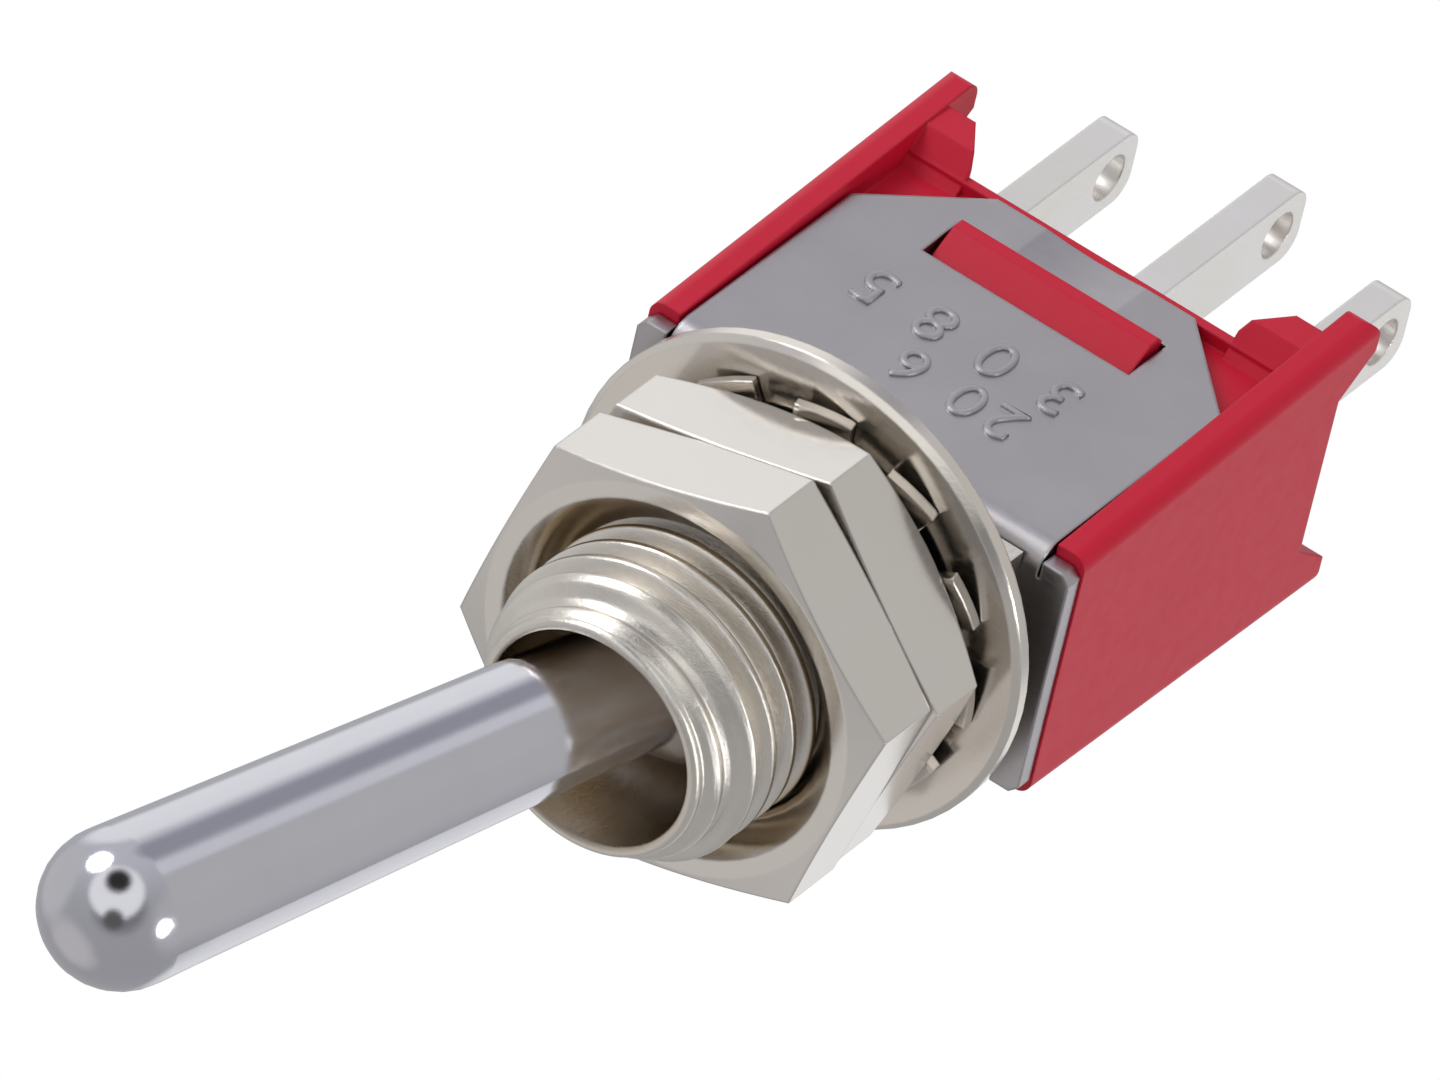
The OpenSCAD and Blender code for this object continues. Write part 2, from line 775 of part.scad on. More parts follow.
// Compound poured round the lugs, level a little below the rim of the wide walls
module epoxy_seal() {
    seal_z = side_z + seal_drop;
    color([0.2, 0.18, 0.18])
        difference() {
            translate([-inner_x, -chamber_y, seal_z])
                cube([2 * inner_x, 2 * chamber_y, floor_z - seal_z]);
            for (x = [-pitch, 0, pitch]) lug_slot(x, lug_w, 0);
        }
}

frame();
case();
bushing();
flat_washer();
lock_washer();
rear_nut();
front_nut();
lever();
pivot_pin();
plunger();
plunger_spring();
contact_rocker();
rocker_contact_left();
rocker_contact_right();
fixed_contact_left();
fixed_contact_right();
terminal_left();
terminal_centre();
terminal_right();
epoxy_seal();
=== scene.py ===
# %% [markdown]
# # A panel toggle switch, dressed over its CAD frame
# The solids come ready made. This script only dresses them: it cuts a real thread on the
# bushing with Geometry Nodes, gives every piece a node-built material and sets a camera.
# All sizes are in metres, in the same frame as the solids, so nothing has to be fitted by eye.

# %% Load the frame
import math

import bpy
from mathutils import Matrix, Vector


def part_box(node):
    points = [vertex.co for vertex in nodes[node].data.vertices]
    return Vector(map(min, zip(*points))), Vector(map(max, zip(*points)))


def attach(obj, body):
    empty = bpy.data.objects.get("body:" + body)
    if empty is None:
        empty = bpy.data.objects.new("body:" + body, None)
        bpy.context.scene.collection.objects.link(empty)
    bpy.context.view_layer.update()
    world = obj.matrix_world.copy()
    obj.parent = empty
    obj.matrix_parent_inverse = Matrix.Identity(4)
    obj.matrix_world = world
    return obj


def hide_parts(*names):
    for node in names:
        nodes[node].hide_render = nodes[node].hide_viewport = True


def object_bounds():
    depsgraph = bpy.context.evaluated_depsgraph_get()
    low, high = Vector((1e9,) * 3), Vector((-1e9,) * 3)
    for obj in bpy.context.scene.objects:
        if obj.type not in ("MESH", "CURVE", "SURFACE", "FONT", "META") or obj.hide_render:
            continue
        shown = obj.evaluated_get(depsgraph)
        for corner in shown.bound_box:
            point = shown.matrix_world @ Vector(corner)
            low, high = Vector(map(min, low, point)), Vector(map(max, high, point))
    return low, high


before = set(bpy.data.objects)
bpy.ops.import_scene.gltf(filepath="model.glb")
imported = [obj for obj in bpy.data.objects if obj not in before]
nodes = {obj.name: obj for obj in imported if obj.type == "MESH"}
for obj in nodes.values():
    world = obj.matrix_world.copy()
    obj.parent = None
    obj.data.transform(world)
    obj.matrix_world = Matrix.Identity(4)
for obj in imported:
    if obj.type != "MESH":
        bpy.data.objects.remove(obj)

cad_box = [list(map(float, corner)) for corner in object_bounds()]
MM = 0.001
print("nodes:", sorted(nodes))

# %% [markdown]
# ## The camera
# The switch is seen from far away through a long lens, lever towards us. The view is kept as
# three directions: right across the picture, up the picture, and forward into it. Lights are
# placed with the same three directions, so they stay where a photographer would put them.

# %% Camera
FORWARD = Vector((-0.3540, -0.6286, -0.6925)).normalized()
RIGHT = Vector((0.7978, 0.1835, -0.5744))
RIGHT = (RIGHT - RIGHT.dot(FORWARD) * FORWARD).normalized()
UP = RIGHT.cross(FORWARD).normalized()
DISTANCE = 0.3737
FOCAL = 25466 / 1440
OFF_CENTRE = (-107.6 / 25466, 16.6 / 25466)

look = (FORWARD + OFF_CENTRE[0] * RIGHT + OFF_CENTRE[1] * UP).normalized()
side = (RIGHT - RIGHT.dot(look) * look).normalized()
top = side.cross(look)
camera_data = bpy.data.cameras.new("camera")
camera = bpy.data.objects.new("camera", camera_data)
bpy.context.scene.collection.objects.link(camera)
camera.matrix_world = Matrix((
    (side.x, top.x, -look.x, -FORWARD.x * DISTANCE),
    (side.y, top.y, -look.y, -FORWARD.y * DISTANCE),
    (side.z, top.z, -look.z, -FORWARD.z * DISTANCE),
    (0, 0, 0, 1)))
camera_data.sensor_width = 36
camera_data.lens = 36 * FOCAL
camera_data.clip_start = 0.01
camera_data.clip_end = 10
bpy.context.scene.camera = camera
print("lens %.0f mm at %.0f mm" % (camera_data.lens, DISTANCE * 1000))

# %% [markdown]
# ## Small helpers for node trees
# A material is a graph. These few functions keep the graph code short: `add` makes a node and
# sets its constants, `wire` joins two sockets, and `feed` takes either a number or a socket.
# `calc` does a sum, `remap` slides one range onto another, `blend` mixes two colours, and
# `bumped` softens edges and lays a fine relief over the result.

# %% Node helpers
def add(tree, kind, values=None, **settings):
    node = tree.nodes.new(kind)
    for key, value in settings.items():
        setattr(node, key, value)
    for key, value in (values or {}).items():
        node.inputs[key].default_value = value
    return node


def wire(tree, source, target):
    tree.links.new(source, target)
    return target


def new_group(name, inputs, outputs):
    group = bpy.data.node_groups.new(name, "ShaderNodeTree")
    for label, kind, value in inputs:
        socket = group.interface.new_socket(label, in_out="INPUT", socket_type=kind)
        if value is not None:
            socket.default_value = value
    for label, kind in outputs:
        group.interface.new_socket(label, in_out="OUTPUT", socket_type=kind)
    return group, add(group, "NodeGroupInput"), add(group, "NodeGroupOutput")


def ramp(tree, factor, stops):
    node = add(tree, "ShaderNodeValToRGB")
    elements = node.color_ramp.elements
    while len(elements) < len(stops):
        elements.new(0.5)
    for element, (position, colour) in zip(elements, stops):
        element.position = position
        element.color = (*colour, 1)
    wire(tree, factor, node.inputs[0])
    return node.outputs[0]


def feed(tree, value, target):
    if isinstance(value, bpy.types.NodeSocket):
        wire(tree, value, target)
    else:
        target.default_value = value


def calc(tree, operation, *values):
    node = add(tree, "ShaderNodeMath", operation=operation)
    for value, target in zip(values, node.inputs):
        feed(tree, value, target)
    return node.outputs[0]


def remap(tree, value, from_low, from_high, to_low=0.0, to_high=1.0, **settings):
    node = add(tree, "ShaderNodeMapRange", **settings)
    feed(tree, value, node.inputs["Value"])
    feed(tree, from_low, node.inputs["From Min"])
    feed(tree, from_high, node.inputs["From Max"])
    feed(tree, to_low, node.inputs["To Min"])
    feed(tree, to_high, node.inputs["To Max"])
    return node.outputs[0]


def blend(tree, share, under, over):
    node = add(tree, "ShaderNodeMix", data_type="RGBA")
    feed(tree, share, node.inputs["Factor"])
    feed(tree, under, node.inputs["A"])
    feed(tree, over, node.inputs["B"])
    return node.outputs["Result"]


def bumped(group, inputs, height, strength, relief):
    edge = add(group, "ShaderNodeBevel", samples=4)
    wire(group, inputs.outputs["Edge radius"], edge.inputs["Radius"])
    bump = add(group, "ShaderNodeBump", {"Distance": relief})
    wire(group, inputs.outputs[strength], bump.inputs["Strength"])
    wire(group, height, bump.inputs["Height"])
    wire(group, edge.outputs[0], bump.inputs["Normal"])
    return bump.outputs[0]


# %% [markdown]
# ## Effects that several materials share
# ** Handled metal** mixes broad blotches, fine scratches and soft edges. Real plate is never one
# even tone: the blotches tint it, the scratches roughen it, and rounded edges catch a line of
# light. "Grain" counts blotches per metre, so a part of a few millimetres needs hundreds. Inside
# the "Tarnish radius", measured from the bushing's axis, the plate turns brown and gold, as it
# does in countersinks and bores that no cloth reaches. Painted shade darkens tight gaps, which
# ambient occlusion finds: the shade in the seams between nuts and washers is painted into the colour.

# %% Handled metal group
SCRATCH_FINER = 7.0      # scratches are this much finer than the blotches
TARNISH_EDGE = 0.0001    # width over which the tarnish sets in
NOOK_REACH = 0.0009      # how far ambient occlusion looks for a wall
# Painted shade: the dark brown that the colour turns towards in tight gaps
PAINTED_SHADE_TINT = (0.075, 0.055, 0.04, 1)
metal_group, gin, gout = new_group(
    "Handled metal",
    [("Vector", "NodeSocketVector", None), ("Grain", "NodeSocketFloat", 900.0),
     ("Scratch", "NodeSocketFloat", 0.1), ("Edge radius", "NodeSocketFloat", 0.00005),
     ("Light tint", "NodeSocketColor", (0.75, 0.72, 0.68, 1)),
     ("Dark tint", "NodeSocketColor", (0.6, 0.56, 0.5, 1)),
     ("Roughness", "NodeSocketFloat", 0.2), ("Tarnish radius", "NodeSocketFloat", 0.0),
     ("Tarnish tint", "NodeSocketColor", (0.58, 0.46, 0.30, 1)), ("Grime", "NodeSocketFloat", 0.0)],
    [("Color", "NodeSocketColor"), ("Roughness", "NodeSocketFloat"), ("Normal", "NodeSocketVector")])
blotch = add(metal_group, "ShaderNodeTexNoise", {"Detail": 4.0, "Roughness": 0.6})
wire(metal_group, gin.outputs["Vector"], blotch.inputs["Vector"])
wire(metal_group, gin.outputs["Grain"], blotch.inputs["Scale"])
stretch = add(metal_group, "ShaderNodeVectorMath", {1: (1.0, 9.0, 3.0)}, operation="MULTIPLY")
wire(metal_group, gin.outputs["Vector"], stretch.inputs[0])
scratch = add(metal_group, "ShaderNodeTexNoise", {"Detail": 3.0, "Roughness": 0.7})
wire(metal_group, stretch.outputs[0], scratch.inputs["Vector"])
wire(metal_group, calc(metal_group, "MULTIPLY", gin.outputs["Grain"], SCRATCH_FINER),
     scratch.inputs["Scale"])
tint = blend(metal_group, blotch.outputs["Fac"], gin.outputs["Light tint"], gin.outputs["Dark tint"])
flat = add(metal_group, "ShaderNodeVectorMath", {1: (1.0, 1.0, 0.0)}, operation="MULTIPLY")
wire(metal_group, gin.outputs["Vector"], flat.inputs[0])
off_axis = add(metal_group, "ShaderNodeVectorMath", operation="LENGTH")
wire(metal_group, flat.outputs[0], off_axis.inputs[0])
inside = calc(metal_group, "SUBTRACT", gin.outputs["Tarnish radius"], off_axis.outputs["Value"])
brown = remap(metal_group, inside, 0.0, TARNISH_EDGE)
patchy = remap(metal_group, blotch.outputs["Fac"], 0.3, 0.62, 1.0, 0.45)
tarnished = blend(metal_group, calc(metal_group, "MULTIPLY", brown, patchy), tint,
                  gin.outputs["Tarnish tint"])
# Painted shade: ambient occlusion finds tight gaps, and there the colour darkens towards the shade
# tint
nook = add(metal_group, "ShaderNodeAmbientOcclusion", {"Distance": NOOK_REACH}, samples=8)
shut = remap(metal_group, nook.outputs["AO"], 0.1, 0.6, 1.0, 0.0)
gap_shaded = blend(metal_group, calc(metal_group, "MULTIPLY", shut, gin.outputs["Grime"]), tarnished,
              PAINTED_SHADE_TINT)
wire(metal_group, gap_shaded, gout.inputs["Color"])
uneven = remap(metal_group, scratch.outputs["Fac"], 0.0, 1.0, 0.6, 1.5)
wire(metal_group, calc(metal_group, "MULTIPLY", uneven, gin.outputs["Roughness"]),
     gout.inputs["Roughness"])
wire(metal_group, bumped(metal_group, gin, scratch.outputs["Fac"], "Scratch", 0.00002),
     gout.inputs["Normal"])
print("group:", metal_group.name)

# %% [markdown]
# **Moulded skin** is for plastics: a faint orange-peel from the mould and slow drifts of colour.

# %% Moulded skin group
skin_group, gin, gout = new_group(
    "Moulded skin",
    [("Vector", "NodeSocketVector", None), ("Grain", "NodeSocketFloat", 2500.0),
     ("Relief", "NodeSocketFloat", 0.15), ("Base", "NodeSocketColor", (0.5, 0.02, 0.05, 1)),
     ("Worn", "NodeSocketColor", (0.6, 0.05, 0.09, 1)), ("Roughness", "NodeSocketFloat", 0.4),
     ("Edge radius", "NodeSocketFloat", 0.00006)],
    [("Color", "NodeSocketColor"), ("Roughness", "NodeSocketFloat"), ("Normal", "NodeSocketVector")])
drift = add(skin_group, "ShaderNodeTexNoise", {"Scale": 350.0, "Detail": 3.0})
wire(skin_group, gin.outputs["Vector"], drift.inputs["Vector"])
peel = add(skin_group, "ShaderNodeTexNoise", {"Detail": 3.0, "Roughness": 0.55})
wire(skin_group, gin.outputs["Vector"], peel.inputs["Vector"])
wire(skin_group, gin.outputs["Grain"], peel.inputs["Scale"])
wire(skin_group, blend(skin_group, drift.outputs["Fac"], gin.outputs["Base"], gin.outputs["Worn"]),
     gout.inputs["Color"])
uneven = remap(skin_group, peel.outputs["Fac"], 0.0, 1.0, 0.85, 1.2)
wire(skin_group, calc(skin_group, "MULTIPLY", uneven, gin.outputs["Roughness"]),
     gout.inputs["Roughness"])
wire(skin_group, bumped(skin_group, gin, peel.outputs["Fac"], "Relief", 0.00003),
     gout.inputs["Normal"])
print("group:", skin_group.name)

# %% [markdown]
# ## Materials
# Each material is one of the two shared effects wired into a Principled shader, with its own
# tints, grain and gloss. Metals differ mostly in roughness: the lever is polished, the sheet
# steel is satin.

# %% Material makers
def dressed(name, group, principled, **inputs):
    material = bpy.data.materials.new(name)
    material.use_nodes = True
    tree = material.node_tree
    shader = tree.nodes["Principled BSDF"]
    for key, value in principled.items():
        shader.inputs[key].default_value = value
    place = add(tree, "ShaderNodeTexCoord")
    effect = add(tree, "ShaderNodeGroup", node_tree=group)
    for key, value in inputs.items():
        effect.inputs[key.replace("_", " ")].default_value = value
    wire(tree, place.outputs["Object"], effect.inputs["Vector"])
    wire(tree, effect.outputs["Color"], shader.inputs["Base Color"])
    wire(tree, effect.outputs["Roughness"], shader.inputs["Roughness"])
    wire(tree, effect.outputs["Normal"], shader.inputs["Normal"])
    return material


def metal(name, light, dark, roughness, grain=900.0, scratch=0.1, edge=0.00005,
          tarnish=0.0, painted_shade=0.0):
    return dressed(name, metal_group, {"Metallic": 1.0}, Light_tint=(*light, 1), Dark_tint=(*dark, 1),
                   Roughness=roughness, Grain=grain, Scratch=scratch, Edge_radius=edge,
                   Tarnish_radius=tarnish, Grime=painted_shade)


def plastic(name, base, worn, roughness, relief=0.15, grain=2500.0, **principled):
    return dressed(name, skin_group, principled, Base=(*base, 1), Worn=(*worn, 1),
                   Roughness=roughness, Relief=relief, Grain=grain)


# %% Materials
# The frame, bushing, washers and nuts darken their colour in tight gaps: that darkening is painted
# shade
chrome = metal("lever_chrome", (0.70, 0.70, 0.75), (0.65, 0.65, 0.70), 0.10, scratch=0.04)
nickel = metal("bushing_nickel", (0.86, 0.83, 0.78), (0.76, 0.71, 0.63), 0.13,
               grain=1300.0, scratch=0.35, edge=0.00002, tarnish=0.00185, painted_shade=0.4)
nut_nickel = metal("nut_nickel", (0.81, 0.78, 0.75), (0.76, 0.73, 0.68), 0.15,
                   grain=300.0, scratch=0.03, edge=0.00006, tarnish=0.00293, painted_shade=0.05)
washer_nickel = metal("washer_nickel", (0.85, 0.81, 0.76), (0.77, 0.72, 0.65), 0.19,
                      grain=350.0, scratch=0.05, painted_shade=0.4)
sheet_steel = metal("frame_steel", (0.55, 0.54, 0.55), (0.43, 0.41, 0.43), 0.33,
                    grain=420.0, edge=0.00007, painted_shade=0.85)
tinned = metal("lug_tinned", (0.92, 0.92, 0.94), (0.86, 0.82, 0.73), 0.34,
               grain=450.0, scratch=0.05)
pin_steel = metal("pin_steel", (0.62, 0.62, 0.63), (0.52, 0.52, 0.53), 0.3)
spring_steel = metal("spring_steel", (0.62, 0.62, 0.64), (0.5, 0.5, 0.52), 0.28)
brass = metal("rocker_brass", (0.80, 0.62, 0.30), (0.66, 0.48, 0.2), 0.3)
silver = metal("contact_silver", (0.90, 0.90, 0.89), (0.80, 0.79, 0.76), 0.3)
red = plastic("red_moulding", (0.60, 0.005, 0.030), (0.64, 0.010, 0.042), 0.42, 0.10, 3000.0,
              **{"Specular IOR Level": 0.3})
nylon = plastic("plunger_nylon", (0.80, 0.77, 0.68), (0.74, 0.70, 0.60), 0.45)
epoxy = plastic("seal_epoxy", (0.03, 0.026, 0.026), (0.06, 0.05, 0.05), 0.35, 0.3, 1200.0)

paint = {
    "frame": sheet_steel, "case": red, "bushing": nickel, "flat_washer": washer_nickel,
    "lock_washer": washer_nickel, "rear_nut": nut_nickel, "front_nut": nut_nickel,
    "lever": chrome, "pivot_pin": pin_steel, "plunger": nylon, "plunger_spring": spring_steel,
    "contact_rocker": brass, "rocker_contact_left": silver, "rocker_contact_right": silver,
    "fixed_contact_left": silver, "fixed_contact_right": silver,
    "terminal_left": tinned, "terminal_centre": tinned, "terminal_right": tinned,
    "epoxy_seal": epoxy,
}
for name, material in paint.items():
    for slot in nodes[name].material_slots:
        slot.material = material
print("painted:", len(paint), "nodes")

# %% [markdown]
# ## The bushing's thread
# A thread follows a rule: go once round, and the ridge has climbed one pitch. Geometry Nodes
# can state that rule directly. A flat grid is rolled into a tube, and each point's radius
# depends on its height minus its share of a turn. The nose tapers, so the radius is the smaller
# of the thread's and the cone's. A shallow groove runs on over the cone and fades out just
# before the lip. The same tree could cut any thread, because its pitch, depth and radii are
# inputs.

# %% Thread tree
GROOVE_STARTS = 0.07  # distance from the ridge's middle to the groove, as a share of the pitch
GROOVE_FULL = 0.43    # distance at which the groove is at its full depth, as a share of it too
CONE_GROOVE = 0.5     # depth of the groove on the cone, as a share of its full depth
FADE = 0.3            # length over which it fades, as a share of the pitch
WELD = 0.000001       # distance at which the tube's two ends are joined


def geometry_tree(name, inputs):
    tree = bpy.data.node_groups.new(name, "GeometryNodeTree")
    tree.interface.new_socket("Geometry", in_out="OUTPUT", socket_type="NodeSocketGeometry")
    for label, kind, value in inputs:
        socket = tree.interface.new_socket(label, in_out="INPUT", socket_type=kind)
        if value is not None:
            socket.default_value = value
    return tree, add(tree, "NodeGroupInput"), add(tree, "NodeGroupOutput")


def mesh_from_tree(name, tree, values):
    holder = bpy.data.objects.new(name + "_maker", bpy.data.meshes.new(name + "_maker"))
    bpy.context.scene.collection.objects.link(holder)
    modifier = holder.modifiers.new("maker", "NODES")
    modifier.node_group = tree
    for item in tree.interface.items_tree:
        if item.item_type == "SOCKET" and item.in_out == "INPUT" and item.name in values:
            modifier[item.identifier] = values[item.name]
    depsgraph = bpy.context.evaluated_depsgraph_get()
    depsgraph.update()
    mesh = bpy.data.meshes.new_from_object(holder.evaluated_get(depsgraph))
    mesh.name = name
    bpy.data.objects.remove(holder)
    piece = bpy.data.objects.new(name, mesh)
    bpy.context.scene.collection.objects.link(piece)
    return piece


thread_tree, gin, gout = geometry_tree("Thread", [
    ("Crest radius", "NodeSocketFloat", 0.002415), ("Depth", "NodeSocketFloat", 0.00025),
    ("Pitch", "NodeSocketFloat", 0.0005), ("Start", "NodeSocketFloat", 0.0),
    ("Taper start", "NodeSocketFloat", 0.004), ("End", "NodeSocketFloat", 0.005),
    ("Nose radius", "NodeSocketFloat", 0.002),
    ("Around", "NodeSocketInt", 160), ("Along", "NodeSocketInt", 200),
    ("Material", "NodeSocketMaterial", None)])
grid = add(thread_tree, "GeometryNodeMeshGrid", {"Size X": 1.0, "Size Y": 1.0})
wire(thread_tree, gin.outputs["Around"], grid.inputs["Vertices X"])
wire(thread_tree, gin.outputs["Along"], grid.inputs["Vertices Y"])
split = add(thread_tree, "ShaderNodeSeparateXYZ")
wire(thread_tree, add(thread_tree, "GeometryNodeInputPosition").outputs[0], split.inputs[0])
turn = calc(thread_tree, "ADD", split.outputs["X"], 0.5)
share = calc(thread_tree, "ADD", split.outputs["Y"], 0.5)
length = calc(thread_tree, "SUBTRACT", gin.outputs["End"], gin.outputs["Start"])
height = calc(thread_tree, "MULTIPLY_ADD", share, length, gin.outputs["Start"])
climb = calc(thread_tree, "SUBTRACT", calc(thread_tree, "DIVIDE", height, gin.outputs["Pitch"]), turn)
phase = calc(thread_tree, "FRACT", climb)
away = calc(thread_tree, "ABSOLUTE", calc(thread_tree, "SUBTRACT", phase, 0.5))
groove = remap(thread_tree, away, GROOVE_STARTS, GROOVE_FULL, interpolation_type="SMOOTHSTEP")
sunk = calc(thread_tree, "MULTIPLY", groove, gin.outputs["Depth"])
ridge = calc(thread_tree, "SUBTRACT", gin.outputs["Crest radius"], sunk)
cone = remap(thread_tree, height, gin.outputs["Taper start"], gin.outputs["End"],
             gin.outputs["Crest radius"], gin.outputs["Nose radius"])
fade_start = calc(thread_tree, "MULTIPLY_ADD", gin.outputs["Pitch"], -FADE, gin.outputs["End"])
fading = remap(thread_tree, height, fade_start, gin.outputs["End"], CONE_GROOVE, 0.0)
cone_cut = calc(thread_tree, "MULTIPLY", sunk, fading)
radius = calc(thread_tree, "MINIMUM", ridge, calc(thread_tree, "SUBTRACT", cone, cone_cut))
angle = calc(thread_tree, "MULTIPLY", turn, 2 * math.pi)
point = add(thread_tree, "ShaderNodeCombineXYZ")
for operation, label in (("COSINE", "X"), ("SINE", "Y")):
    way = calc(thread_tree, operation, angle)
    wire(thread_tree, calc(thread_tree, "MULTIPLY", radius, way), point.inputs[label])
wire(thread_tree, height, point.inputs["Z"])
place = add(thread_tree, "GeometryNodeSetPosition")
wire(thread_tree, grid.outputs["Mesh"], place.inputs["Geometry"])
wire(thread_tree, point.outputs[0], place.inputs["Position"])
weld = add(thread_tree, "GeometryNodeMergeByDistance", {"Distance": WELD})
wire(thread_tree, place.outputs[0], weld.inputs["Geometry"])
smooth = add(thread_tree, "GeometryNodeSetShadeSmooth")
wire(thread_tree, weld.outputs[0], smooth.inputs["Geometry"])
real = add(thread_tree, "GeometryNodeRealizeInstances")
wire(thread_tree, smooth.outputs[0], real.inputs[0])
colour = add(thread_tree, "GeometryNodeSetMaterial")
wire(thread_tree, real.outputs[0], colour.inputs["Geometry"])
wire(thread_tree, gin.outputs["Material"], colour.inputs["Material"])
wire(thread_tree, colour.outputs[0], gout.inputs["Geometry"])

# %% Bushing thread
high = Vector(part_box("bushing")[1])
nose_z = high.z
crest = high.y
nose_r = 1.95 * MM     # radius of the cone where it meets the lip
rim = 0.12 * MM        # rounding of the lip
taper = 0.85 * MM      # length of the cone
pitch = 0.5 * MM
thread = mesh_from_tree("bushing_thread", thread_tree, {
    "Crest radius": crest, "Depth": 0.27 * MM, "Pitch": pitch, "Start": 0.5 * MM,
    "Taper start": nose_z - taper, "End": nose_z - rim, "Nose radius": nose_r,
    "Around": 181, "Along": 320, "Material": nickel})
print("thread faces:", len(thread.data.polygons))

# %% [markdown]
# The rest of the bushing is two skins, each a row of closed rings joined by faces. The barrel's
# rings are a half profile spun about the axis. The shoulder block's rings are its rectangle,
# low and high, and the round hole in its top. What the thread tube covers is left out.

# %% Bushing body
def skin(name, rings, material, smooth):
    steps = len(rings[0])
    faces = [(k * steps + i, k * steps + (i + 1) % steps,
              (k + 1) * steps + (i + 1) % steps, (k + 1) * steps + i)
             for k in range(len(rings) - 1) for i in range(steps)]
    mesh = bpy.data.meshes.new(name)
    mesh.from_pydata([point for ring in rings for point in ring], [], faces)
    mesh.materials.append(material)
    for face in mesh.polygons:
        face.use_smooth = smooth
    piece = bpy.data.objects.new(name, mesh)
    bpy.context.scene.collection.objects.link(piece)
    return piece


def arc(cx, cz, radius, start, end, steps=8):
    return [(cx + radius * math.cos(math.radians(start + (end - start) * i / steps)),
             cz + radius * math.sin(math.radians(start + (end - start) * i / steps)))
            for i in range(steps + 1)]


STEPS = 160            # points in a full turn
bore = 1.75 * MM       # radius of the wide bore
bore_z = 1.0 * MM      # height of the wide bore's floor
ease = 0.02 * MM       # cut corner at that floor
neck = 1.52 * MM       # radius of the hole below the wide bore
lip = 0.05 * MM        # cut corner at the mouth
stake_r = 1.7 * MM     # rim staked under the plate
stake_z = -0.49 * MM
profile = arc(nose_r - rim, nose_z - rim, rim, 0, 90)
profile += [(bore + lip, nose_z), (bore, nose_z - lip), (bore, bore_z + ease), (bore - ease, bore_z),
            (neck, bore_z), (neck, stake_z), (stake_r, stake_z), (stake_r, 0.0)]
turns = [2 * math.pi * i / STEPS for i in range(STEPS)]
barrel = skin("bushing_barrel", [[(r * math.cos(a), r * math.sin(a), z) for a in turns]
                                 for r, z in profile], nickel, True)

block_x = high.x       # half the length of the shoulder block
block_y = 2.1 * MM     # half its width
block_z = 0.54 * MM    # height of its top
block_foot = 0.005 * MM
hole_r = 1.9 * MM      # radius of the hole in its top, under the thread


def on_rectangle(x, y):
    stretch = max(abs(x) / block_x, abs(y) / block_y)
    return x / stretch, y / stretch


corners = [math.atan2(sy * block_y, sx * block_x) % (2 * math.pi) for sx in (-1, 1) for sy in (-1, 1)]
ways = [(math.cos(a), math.sin(a)) for a in sorted(turns + corners)]
outline = [on_rectangle(x, y) for x, y in ways]
hole = [(hole_r * x, hole_r * y) for x, y in ways]
base = skin("bushing_block", [[(x, y, z) for x, y in ring] for ring, z in (
    (outline, block_foot), (outline, block_z), (hole, block_z))], nickel, False)

for piece in (thread, barrel, base):
    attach(piece, "body")
    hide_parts("bushing")
print("bushing pieces:", [p.name for p in (thread, barrel, base)])

# %% [markdown]
# ## Stamped figures
# The leg is stamped with a code in two rows, read with the lever upwards. Plain figures stand in
# for it: each row is a text turned into a thin mesh and laid on the leg's face. The stroke is
# raised by a few hundredths of a millimetre, enough for its flanks to catch the light.

# %% Stamped figures
CAP_HEIGHT = 0.7       # height of a figure as a share of the text's size
leg_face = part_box("frame")[1][1]


def stamp(name, figures, height, x, z):
    curve = bpy.data.curves.new(name, "FONT")
    curve.body = figures
    curve.size = height / CAP_HEIGHT
    curve.space_character = 1.15
    curve.align_x = "CENTER"
    curve.align_y = "CENTER"
    curve.extrude = 0.02 * MM
    curve.bevel_depth = 0.025 * MM
    curve.offset = -0.02 * MM
    curve.resolution_u = 6
    holder = bpy.data.objects.new(name + "_curve", curve)
    bpy.context.scene.collection.objects.link(holder)
    bpy.context.view_layer.update()
    mesh = bpy.data.meshes.new_from_object(holder)
    bpy.data.objects.remove(holder)
    # Text runs along its own X with its own Y up; here it runs along -X with +Z up
    mesh.transform(Matrix(((-1, 0, 0, x), (0, 0, 1, leg_face), (0, 1, 0, z), (0, 0, 0, 1))))
    mesh.name = name
    mesh.materials.clear()
    mesh.materials.append(sheet_steel)
    piece = bpy.data.objects.new(name, mesh)
    bpy.context.scene.collection.objects.link(piece)
    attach(piece, "body")
    return piece


rows = [stamp("stamped_row_rear", "3 0 8 5", 0.85 * MM, -0.2 * MM, -3.15 * MM),
        stamp("stamped_row_front", "20 6", 0.8 * MM, 0.4 * MM, -2.05 * MM)]
print("stamped rows:", [(row.name, len(row.data.polygons)) for row in rows])

# %% [markdown]
# ## The room that the metal mirrors
# Bright metal shows its surroundings more than itself. The world is therefore drawn as a small
# studio: soft patches of light and dark, each with a direction and a width. A patch's direction
# is given as right, up and forward of the camera. The camera itself sees plain white.

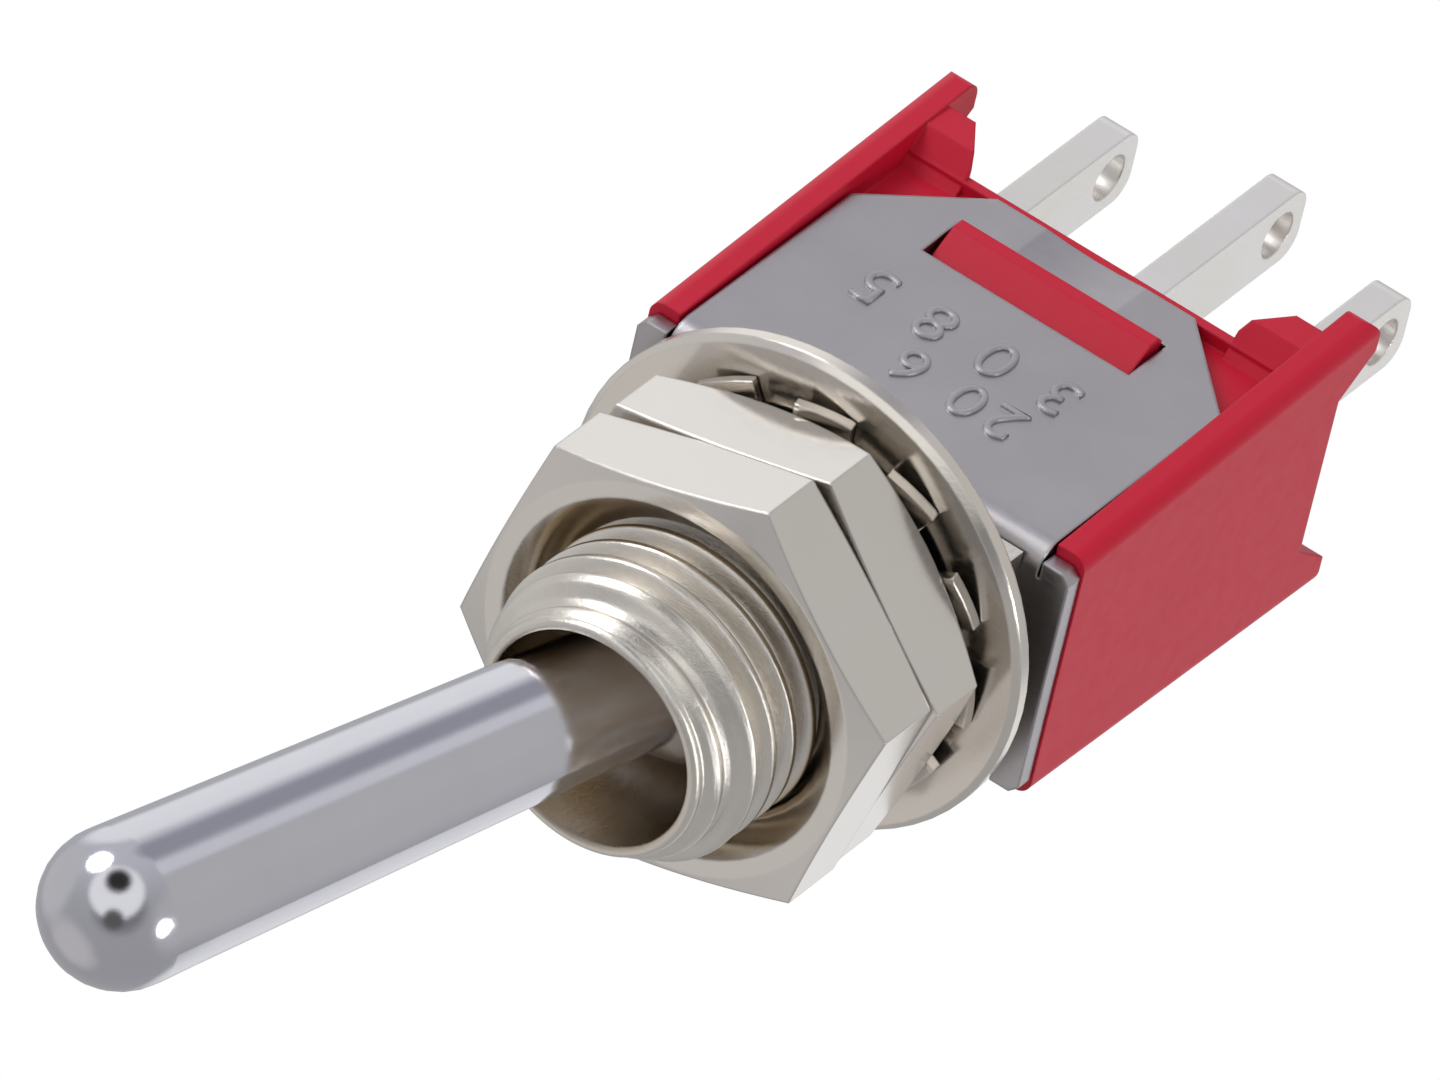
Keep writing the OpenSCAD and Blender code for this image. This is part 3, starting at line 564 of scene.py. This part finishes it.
# %% Studio world
patch_group, gin, gout = new_group(
    "Soft patch",
    [("Direction", "NodeSocketVector", None), ("Towards", "NodeSocketVector", (0, 0, 1)),
     ("Inner", "NodeSocketFloat", 0.95), ("Outer", "NodeSocketFloat", 0.8)],
    [("Mask", "NodeSocketFloat")])
dot = add(patch_group, "ShaderNodeVectorMath", operation="DOT_PRODUCT")
wire(patch_group, gin.outputs["Direction"], dot.inputs[0])
wire(patch_group, gin.outputs["Towards"], dot.inputs[1])
soft = remap(patch_group, dot.outputs["Value"], gin.outputs["Outer"], gin.outputs["Inner"],
             interpolation_type="SMOOTHSTEP")
wire(patch_group, soft, gout.inputs["Mask"])

world = bpy.data.worlds.new("studio")
world.use_nodes = True
bpy.context.scene.world = world
tree = world.node_tree
tree.nodes.clear()
direction = add(tree, "ShaderNodeTexCoord").outputs["Generated"]


def towards(right, up, forward):
    return (right * RIGHT + up * UP + forward * FORWARD).normalized()


def dot_with(axis):
    node = add(tree, "ShaderNodeVectorMath", {1: axis}, operation="DOT_PRODUCT")
    wire(tree, direction, node.inputs[0])
    return node.outputs["Value"]


def mix_patch(under, axis, inner, outer, colour):
    mask = add(tree, "ShaderNodeGroup", {"Towards": towards(*axis), "Inner": inner, "Outer": outer},
               node_tree=patch_group)
    wire(tree, direction, mask.inputs["Direction"])
    return blend(tree, mask.outputs[0], under, (*colour, 1))


room = ramp(tree, calc(tree, "MULTIPLY_ADD", dot_with(UP), 0.5, 0.5), [
    (0.0, (0.40, 0.40, 0.41)), (0.35, (0.42, 0.42, 0.43)), (0.6, (0.45, 0.45, 0.47)),
    (1.0, (0.62, 0.62, 0.66))])
# Each row: direction, cosines of the angles where the patch is full and where it ends, colour
PATCHES = [
    # Dark behind the camera, and mid grey to the right and below left for the flats
    ((0.0, 0.0, -1.0), 0.92, 0.70, (0.22, 0.22, 0.23)),
    ((0.90, -0.20, -0.10), 0.92, 0.75, (0.53, 0.53, 0.53)),
    ((-0.80, -0.60, 0.04), 0.97, 0.80, (0.60, 0.58, 0.57)),
    ((0.95, 0.31, 0.02), 0.97, 0.85, (0.56, 0.55, 0.54)),
    # A light line and a dark band that run along the lever
    ((0.69, 0.69, -0.21), 0.997, 0.985, (0.72, 0.72, 0.75)),
    ((0.42, 0.905, 0.0), 0.995, 0.960, (0.36, 0.36, 0.41)),
    # Bright beyond the switch, low and high, and soft at the left
    ((0.45, -0.25, 0.86), 0.97, 0.88, (0.86, 0.86, 0.87)),
    ((-0.06, 0.84, 0.54), 0.975, 0.88, (0.94, 0.94, 0.95)),
    ((-0.75, 0.35, 0.25), 0.92, 0.75, (0.6, 0.6, 0.6)),
    # A window with two dark spots, mirrored in the lever's tip
    ((-0.06, 0.36, -0.93), 0.84, 0.74, (0.95, 0.95, 0.95)),
    ((-0.02, 0.60, -0.80), 0.985, 0.93, (0.03, 0.03, 0.03)),
    ((-0.14, -0.28, -0.95), 0.99, 0.95, (0.12, 0.12, 0.12)),
]
for axis, inner, outer, colour in PATCHES:
    room = mix_patch(room, axis, inner, outer, colour)
studio = add(tree, "ShaderNodeBackground", {"Strength": 1.0})
wire(tree, room, studio.inputs["Color"])
plain = add(tree, "ShaderNodeBackground", {"Color": (1, 1, 1, 1), "Strength": 1.0})
rays = add(tree, "ShaderNodeLightPath")
choose = add(tree, "ShaderNodeMixShader")
wire(tree, rays.outputs["Is Camera Ray"], choose.inputs[0])
wire(tree, studio.outputs[0], choose.inputs[1])
wire(tree, plain.outputs[0], choose.inputs[2])
wire(tree, choose.outputs[0], add(tree, "ShaderNodeOutputWorld").inputs["Surface"])
print("studio patches:", len(PATCHES))

# %% [markdown]
# Two soft lamps: the key from the upper left gives the plastic its form and sharp corners their
# sparkle, and a weaker fill from the lower right lifts the end wall.

# %% Lamps
centre = sum((Vector(c) for c in cad_box), Vector()) / 2


def softbox(name, axis, distance, size, watts):
    data = bpy.data.lights.new(name, "AREA")
    data.shape = "DISK"
    data.size = size
    data.energy = watts
    lamp = bpy.data.objects.new(name, data)
    bpy.context.scene.collection.objects.link(lamp)
    heading = towards(*axis)
    lamp.location = centre + heading * distance
    lamp.rotation_euler = heading.to_track_quat("Z", "Y").to_euler()
    return lamp


softbox("key", (-0.45, 0.85, -0.35), 0.16, 0.08, 0.08)
softbox("fill", (0.80, -0.45, -0.40), 0.16, 0.05, 0.05)

# %% [markdown]
# ## Finish
# The picture is shown as it is lit, with no film curve on top. The size of the bare solids is
# printed.

# %% Finish
bpy.context.scene.view_settings.view_transform = "Standard"
print("cad box:", cad_box)
